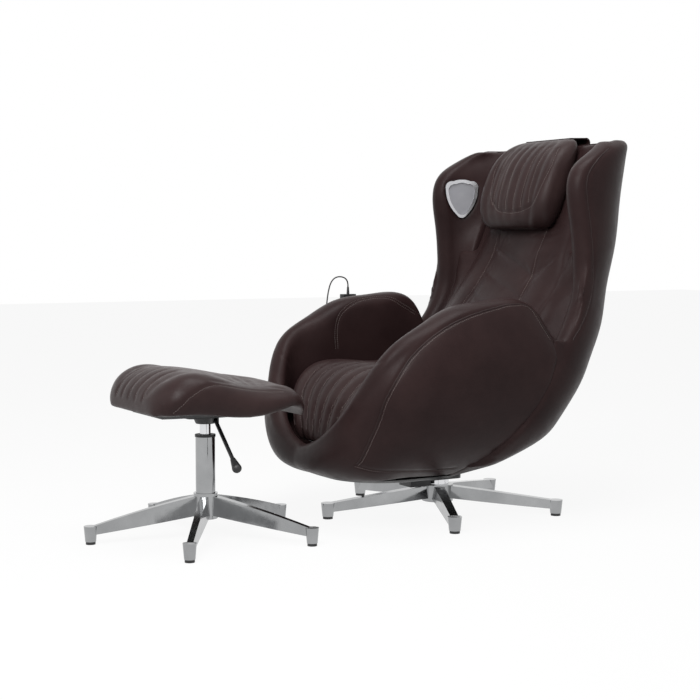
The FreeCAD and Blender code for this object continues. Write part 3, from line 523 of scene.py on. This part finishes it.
# Seams, as places in millimetres; those given for one arm are mirrored
armWelt = bothSides((230, -399, 191), (248, -394, 210), (278, -388, 258), (302, -378, 308),
                    (316, -368, 356), (328, -347, 403), (336, -314, 455), (338, -291, 480),
                    (341, -243, 517), (346, -189, 548), (346, -110, 575), (341, -27, 593),
                    (340, 14, 597), (338, 51, 595), (345, 73, 578), (358, 89, 544), (367, 113, 504))
panelFoot = bothSides((226, -398, 186), (237, -372, 178), (249, -295, 168), (244, -200, 160),
                      (250, -110, 162))
armInsert = bothSides((246, -187, 451), (247, -189, 492), (249, -181, 532), (251, -160, 560),
                      (258, -119, 582), (262, -76, 592), (262, -36, 595), (256, 2, 590),
                      (249, 39, 570), (248, 81, 546))
armCorner = bothSides((302, -378, 470), (282, -366, 453), (247, -362, 435), (249, -338, 411))
rearPlaces = [(205, -94, 136), (247, -63, 160), (280, -35, 185), (304, -10, 210), (335, 24, 250),
              (361, 59, 300), (377, 87, 350), (385, 108, 400), (385, 125, 450), (377, 136, 500)]
wingWelt = bothSides((385, 180, 500), (377, 213, 540), (371, 239, 585), (368, 254, 640),
                     (365, 254, 720), (363, 246, 800), (362, 234, 880), (358, 240, 935),
                     (355, 278, 980), (341, 322, 1008))

seatRows = [(-90, 414, 240), (-160, 417, 240), (-230, 422, 238), (-275, 417, 233),
            (-314, 405, 228), (-345, 378, 215), (-366, 352, 203), (-382, 326, 186),
            (-394, 290, 165), (-402, 255, 140)]


def seatLine(share):
    return [at(half * share, y, z) for y, z, half in seatRows]


seatChannels = [seatLine(0.62 - 0.248 * k) for k in range(6)]
seatRim = [seatLine(0.93), seatLine(-0.93)]

backFold = bothSides((126, 384, 960), (124, 322, 830), (122, 301, 785), (118, 275, 728),
                     (119, 242, 670), (122, 203, 613), (126, 181, 583), (127, 120, 500))
backEdge = bothSides((196, 330, 830), (204, 284, 734), (223, 253, 669), (226, 217, 615),
                     (220, 181, 571), (222, 130, 505))
backBands = [placesAt((-118, 283, 742), (-60, 272, 720), (12, 251, 699), (60, 244, 682), (114, 236, 660)),
             placesAt((-120, 243, 672), (-70, 228, 657), (-16, 215, 642), (50, 204, 622), (116, 191, 598)),
             placesAt((-122, 200, 606), (-60, 186, 588), (0, 172, 570), (60, 156, 548), (122, 138, 528))]

pillowPanel = [placesAt((-115, 316, 1021), (-111, 267, 949), (-88, 240, 890), (-47, 232, 851),
                      (8, 231, 842), (59, 236, 844), (102, 239, 857), (127, 241, 884),
                      (143, 277, 968), (127, 316, 1020))]
pillowChannels = []
for offset, low in ((-72, 868), (-40, 856), (-6, 852), (28, 852), (62, 858), (94, 872)):
    pillowChannels.append(placesAt((offset, 232, low), (offset - 2, 240, 890), (offset - 4, 256, 930),
                                 (offset - 8, 284, 975), (offset - 12, 322, 1020)))

stoolHalf = 183
stoolSideRow = [(-166, 355), (-141, 375), (-108, 394), (-74, 404), (-29, 406), (40, 403), (128, 391)]
stoolSides = [[at(stoolX + x, stoolY + y, z) for y, z in stoolSideRow]
              for x in (-stoolHalf, stoolHalf)]
stoolChannels = [[at(stoolX + x, stoolY - 197, 372), at(stoolX + x, stoolY - 178, 405),
                  at(stoolX + x * 0.99, stoolY - 150, 424), at(stoolX + x * 0.98, stoolY - 112, 436)]
                 for x in (-97, -58, -13, 29, 75)]

# Lower cheeks that carry the back's skin down to the tub's bottom, beside the tilt gear: height,
# half width, rear reach, corner radius, front end
cheekRows = [(120, 168, -70, 30, -116), (136, 208, -30, 46, -93), (158, 254, 50, 76, -65),
             (185, 288, 108, 98, -34)]
cheekWall = 14.0
cheekInner = 100.0
cheekSteps = 8


def tubeMesh(name, rings):
    count = len(rings[0])
    last = len(rings) - 1
    faces = [list(range(count)), list(range(count * last, count * last + count))]
    for level in range(last):
        for k in range(count):
            after = (k + 1) % count
            faces.append([level * count + k, level * count + after,
                          (level + 1) * count + after, (level + 1) * count + k])
    mesh = bpy.data.meshes.new(name)
    mesh.from_pydata([p for ring in rings for p in ring], [], faces)
    return mesh


def cheekMesh(side):
    rings = []
    for height, half, rear, corner, front in cheekRows:
        flat = half - corner
        outer = [(half, front, 1, 0)]
        for step in range(cheekSteps + 1):
            turn = math.radians(90 * step / cheekSteps)
            outer.append((flat + corner * math.cos(turn), rear - corner + corner * math.sin(turn),
                          math.cos(turn), math.sin(turn)))
        outer.append((cheekInner, rear, 0, 1))
        ring = [at(side * x, y, height) for x, y, nx, ny in outer]
        ring += [at(side * (x - nx * cheekWall), y - ny * cheekWall, height)
                 for x, y, nx, ny in reversed(outer)]
        rings.append(ring)
    return tubeMesh("cheek", rings)


# Bolsters between the back pad's edges and the wings: height, front of the pad's edge, and the
# wing's neck beside it
bolsterRows = [(446, 96, 322, 176), (500, 138, 316, 186), (540, 167, 306, 214), (585, 199, 299, 240),
               (640, 237, 296, 256), (690, 271, 294, 259), (730, 291, 292, 262)]
bolsterInner = 222.0
bolsterThick = 34.0
bolsterTuck = 2.0
bolsterDip = 6.0


def bolsterMesh(side):
    rings = []
    for height, front, neckX, neckY in bolsterRows:
        middleX = (bolsterInner + neckX) / 2
        middleY = (front + neckY) / 2 - bolsterDip
        outline = ((bolsterInner, front - bolsterTuck), (middleX, middleY), (neckX, neckY),
                   (neckX, neckY + bolsterThick), (bolsterInner, front + bolsterThick))
        rings.append([at(side * x, y, height) for x, y in outline])
    return tubeMesh("bolster", rings)


# Strip of the back's skin that runs on under the tub's panels along the rear seam, turned with
# the tub's wall below its bulge
bulgeHeight = 428
bulgeDrop = 318
stripDepths = (3.5, 13.0)
stripReach = 16.0


def stripMesh(side):
    track = [at(side * x, y, z) for x, y, z in rearPlaces]
    rings = []
    for index, place in enumerate(track):
        along = (track[min(index + 1, len(track) - 1)] - track[max(index - 1, 0)]).normalized()
        height = rearPlaces[index][2]
        turn = math.asin(min(max((bulgeHeight - height) / bulgeDrop, -0.3), 0.99))
        out = Vector((side * math.cos(turn), 0, -math.sin(turn)))
        across = along.cross(out).normalized()
        if across.y < 0:
            across.negate()
        high = place - out * stripDepths[0] * mm
        low = place - out * stripDepths[1] * mm
        reach = across * stripReach * mm
        rings.append([high - reach, high + reach, low + reach, low - reach])
    return tubeMesh("strip", rings)


# Each skin: its solids, remeshing in millimetres, cloth, and its creases with depth and width
wholeWidth = 900
softPieces = {
    "tubShell": {"nodes": ["side_panel_left", "side_panel_right", "arm_pad_left", "arm_pad_right",
                           "front_panel", "front_lip"], "voxel": 5.5, "rounds": 9, "grow": 3.0,
                 "creases": [(armWelt, 2.6, 5.0), (panelFoot, 1.6, 5.0), (armInsert, 2.0, 4.5),
                             (armCorner, 1.6, 4.5)]},
    "backShell": {"nodes": ["back_shell", "wing_left", "wing_right"], "voxel": 5.5, "rounds": 9,
                  "grow": 3.0, "creases": [(wingWelt, 2.2, 5.0)],
                  "extras": [cheekMesh(1), cheekMesh(-1), stripMesh(1), stripMesh(-1)]},
    "backPad": {"nodes": ["back_pad"], "extras": [bolsterMesh(1), bolsterMesh(-1)], "voxel": 5.8,
                "rounds": 8, "grow": 3.0, "cap": 22, "pressure": 3.0, "facing": (0, -1, 0),
                "inside": 226, "creases": [(backFold, 5.0, 7.0), (backEdge, 3.5, 7.0),
                                           (backBands, 3.5, 6.0)]},
    "seatCushion": {"nodes": ["seat_cushion"], "voxel": 5.5, "rounds": 5, "grow": 2.0, "cap": 22,
                    "pressure": 3.5, "facing": (0, -0.7, 0.7), "material": leatherSeat,
                    "creases": [(seatChannels, 3.0, 5.0), (seatRim, 4.0, 6.0)]},
    "headrestPillow": {"nodes": ["headrest_pillow"], "voxel": 4.8, "rounds": 5, "grow": 0.0,
                       "cap": 22, "pressure": 2.5, "facing": (0, -1, 0), "body": "pillow",
                       "material": leatherSeat,
                       "creases": [(pillowPanel, 2.5, 4.5), (pillowChannels, 2.8, 5.0)]},
    "stoolCushion": {"nodes": ["stool_cushion"], "voxel": 5.2, "rounds": 16, "grow": 0.0, "cap": 22,
                     "pressure": 2.0, "facing": (0, 0, 1), "body": "stool_top",
                     "material": leatherStool,
                     "creases": [(stoolSides, 2.2, 4.5), (stoolChannels, 2.6, 5.0)]},
}
trees = {}
for name, plan in softPieces.items():
    piece = softCopy(name, plan["nodes"], plan["voxel"], plan["rounds"], plan["grow"],
                     plan.get("extras", ()))
    tree = surfaceTree(piece)
    held = []
    for lines, depth, width in plan["creases"]:
        laid = [layLine(tree, line) for line in lines]
        crease(piece, laid, depth, width)
        held += laid
    if "cap" in plan:
        inflate(piece, held, plan["cap"], plan["pressure"], plan["facing"],
                plan.get("inside", wholeWidth))
    finishSoft(piece, plan.get("material", leather), plan.get("body", seatBody), plan["nodes"])
    trees[name] = surfaceTree(piece)
    print("soft piece", name, len(piece.data.polygons))

strapPiece = linkMesh("headrestStrap", nodes["headrest_strap"].data.copy())
strapEdge = strapPiece.modifiers.new("softEdge", "BEVEL")
strapEdge.width = 1.2 * mm
strapEdge.segments = 3
bakeModifiers(strapPiece)
shadeSmooth(strapPiece.data)
strapPiece.data.materials.clear()
strapPiece.data.materials.append(leather)
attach(strapPiece, seatBody)
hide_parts("headrest_strap")
print("soft pieces done")


# Sewing: welts lie in their creases, and rows of thread run beside or along them
def rowBeside(pieceName, lines, aside, lift=0.3):
    tree = trees[pieceName]
    rows = []
    for line in lines:
        laid = layLine(tree, line)
        for side in aside:
            moved = besideLine(tree, laid, side) if side else laid
            rows.append(raiseLine(tree, moved, lift))
    return rows


welts = {
    "armWelt": ("tubShell", armWelt, 2.3, -0.3, seatBody),
    "wingWelt": ("backShell", wingWelt, 1.8, -0.4, seatBody),
    "seatWelt": ("seatCushion", seatRim, 3.0, -0.6, seatBody),
}
for name, (pieceName, lines, radius, lift, body) in welts.items():
    pipingPiece(name, rowBeside(pieceName, lines, (0,), lift), body, radius, pipingLeather)
threads = {
    "armThread": ("tubShell", armWelt[:1], (7.0,), seatBody),
    "armThreadFar": ("tubShell", armWelt[1:], (-7.0,), seatBody),
    "panelFootThread": ("tubShell", panelFoot, (4.0,), seatBody),
    "insertThread": ("tubShell", armInsert, (-4.0, 4.0), seatBody),
    "seatThread": ("seatCushion", seatChannels, (0,), seatBody),
    "backThread": ("backPad", backFold, (6.0,), seatBody),
    "pillowThread": ("headrestPillow", pillowPanel, (3.0,), "pillow"),
    "pillowChannelThread": ("headrestPillow", pillowChannels, (0,), "pillow"),
    "stoolThread": ("stoolCushion", stoolSides, (3.0,), "stool_top"),
    "stoolChannelThread": ("stoolCushion", stoolChannels, (0,), "stool_top"),
}
for name, (pieceName, lines, aside, body) in threads.items():
    stitchPiece(name, rowBeside(pieceName, lines, aside), body)
print("sewing done")

# Handset cord
cordDiameter = 4.0
cordRoute = [
    (-397.0, -63.0, 622.0), (-397.0, -63.0, 635.0), (-397.5, -71.0, 648.0),
    (-398.0, -89.0, 653.5), (-398.5, -108.0, 650.0), (-398.5, -122.0, 635.0),
    (-398.0, -130.0, 610.0), (-398.5, -134.5, 580.0), (-401.0, -136.5, 545.0),
    (-406.0, -137.0, 512.0), (-408.5, -137.0, 484.0), (-405.0, -136.5, 462.0),
    (-395.3, -136.0, 447.0),
]
cordCurve = bpy.data.curves.new("handsetCord", "CURVE")
cordCurve.dimensions = "3D"
cordCurve.bevel_depth = cordDiameter / 2 * mm
cordCurve.bevel_resolution = 4
cordCurve.use_fill_caps = True
cordSpline = cordCurve.splines.new("NURBS")
cordSpline.points.add(len(cordRoute) - 1)
for spot, place in zip(cordSpline.points, cordRoute):
    spot.co = (*at(*place), 1)
cordSpline.order_u = 3
cordSpline.use_endpoint_u = True
cordSpline.resolution_u = 12
handsetCord = bpy.data.objects.new("handsetCord", cordCurve)
scene.collection.objects.link(handsetCord)
cordCurve.materials.append(cordRubber)
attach(handsetCord, seatBody)
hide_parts("handset_cord")
print("cord done")

# Studio: floor and world are white to the camera, in reflections and through glass, and dimmer
# as light
def whiteToCamera(tree, dim, bright):
    path = tree.nodes.new("ShaderNodeLightPath")
    direct = addNode(tree, "ShaderNodeMath", operation="MAXIMUM")
    seen = addNode(tree, "ShaderNodeMath", operation="MAXIMUM")
    mixer = tree.nodes.new("ShaderNodeMixShader")
    tree.links.new(path.outputs["Is Camera Ray"], direct.inputs[0])
    tree.links.new(path.outputs["Is Transmission Ray"], direct.inputs[1])
    tree.links.new(direct.outputs["Value"], seen.inputs[0])
    tree.links.new(path.outputs["Is Glossy Ray"], seen.inputs[1])
    tree.links.new(seen.outputs["Value"], mixer.inputs["Fac"])
    tree.links.new(dim, mixer.inputs[1])
    tree.links.new(bright, mixer.inputs[2])
    return mixer


floorMesh = bpy.data.meshes.new("studioFloor")
floorReach = 14.0
floorMesh.from_pydata([(-floorReach, -floorReach, 0), (floorReach, -floorReach, 0),
                       (floorReach, floorReach, 0), (-floorReach, floorReach, 0)],
                      [], [(0, 1, 2, 3)])
studioFloor = linkMesh("studioFloor", floorMesh)
floorPaint, floorTree, floorShader = nodeMaterial("studioFloor")
floorShader.inputs["Base Color"].default_value = (0.8, 0.8, 0.8, 1)
floorShader.inputs["Roughness"].default_value = 0.9
floorShader.inputs["Specular IOR Level"].default_value = 0.1
floorGlow = addNode(floorTree, "ShaderNodeEmission", in_Strength=1.0)
floorShade = floorTree.nodes.new("ShaderNodeMixShader")
floorShade.inputs["Fac"].default_value = 0.92
floorTree.links.new(floorShader.outputs["BSDF"], floorShade.inputs[1])
floorTree.links.new(floorGlow.outputs["Emission"], floorShade.inputs[2])
floorMix = whiteToCamera(floorTree, floorShader.outputs["BSDF"], floorShade.outputs["Shader"])
floorTree.links.new(floorMix.outputs["Shader"], floorTree.nodes["Material Output"].inputs["Surface"])
floorMesh.materials.append(floorPaint)

world = bpy.data.worlds.new("studio")
scene.world = world
world.use_nodes = True
worldTree = world.node_tree
dimSky = worldTree.nodes["Background"]
dimSky.inputs["Color"].default_value = (1, 1, 1, 1)
dimSky.inputs["Strength"].default_value = 0.2
whiteSky = addNode(worldTree, "ShaderNodeBackground", in_Strength=1.0)
whiteSky.inputs["Color"].default_value = (1, 1, 1, 1)
worldMix = whiteToCamera(worldTree, dimSky.outputs["Background"], whiteSky.outputs["Background"])
worldTree.links.new(worldMix.outputs["Shader"], worldTree.nodes["World Output"].inputs["Surface"])


def areaLight(name, place, target, size, power):
    data = bpy.data.lights.new(name, "AREA")
    data.shape = "RECTANGLE"
    data.size = size[0]
    data.size_y = size[1]
    data.energy = power
    lamp = bpy.data.objects.new(name, data)
    scene.collection.objects.link(lamp)
    lamp.location = place
    lamp.rotation_euler = (Vector(target) - Vector(place)).to_track_quat("-Z", "Y").to_euler()


middle = at(0, -200, 500)
areaLight("topSoftbox", at(500, -300, 3300), middle, (1.7, 1.7), 55)
areaLight("frontSoftbox", at(-300, -3600, 1900), middle, (1.8, 2.2), 12)
areaLight("rightSoftbox", at(1900, -2500, 2700), middle, (1.8, 1.8), 100)

camera = bpy.data.cameras.new("photoCamera")
camera.lens = 77.2
camera.sensor_width = 36.0
camera.clip_end = 60.0
cameraObject = bpy.data.objects.new("photoCamera", camera)
scene.collection.objects.link(cameraObject)
cameraObject.location = at(3513.8, -2313.9, 762.0)
pitch = math.radians(4.19)
headingX, headingY = -0.866, 0.5
sight = Vector((headingX * math.cos(pitch), headingY * math.cos(pitch), -math.sin(pitch)))
cameraObject.rotation_euler = sight.to_track_quat("-Z", "Y").to_euler()
scene.camera = cameraObject
print("studio done")
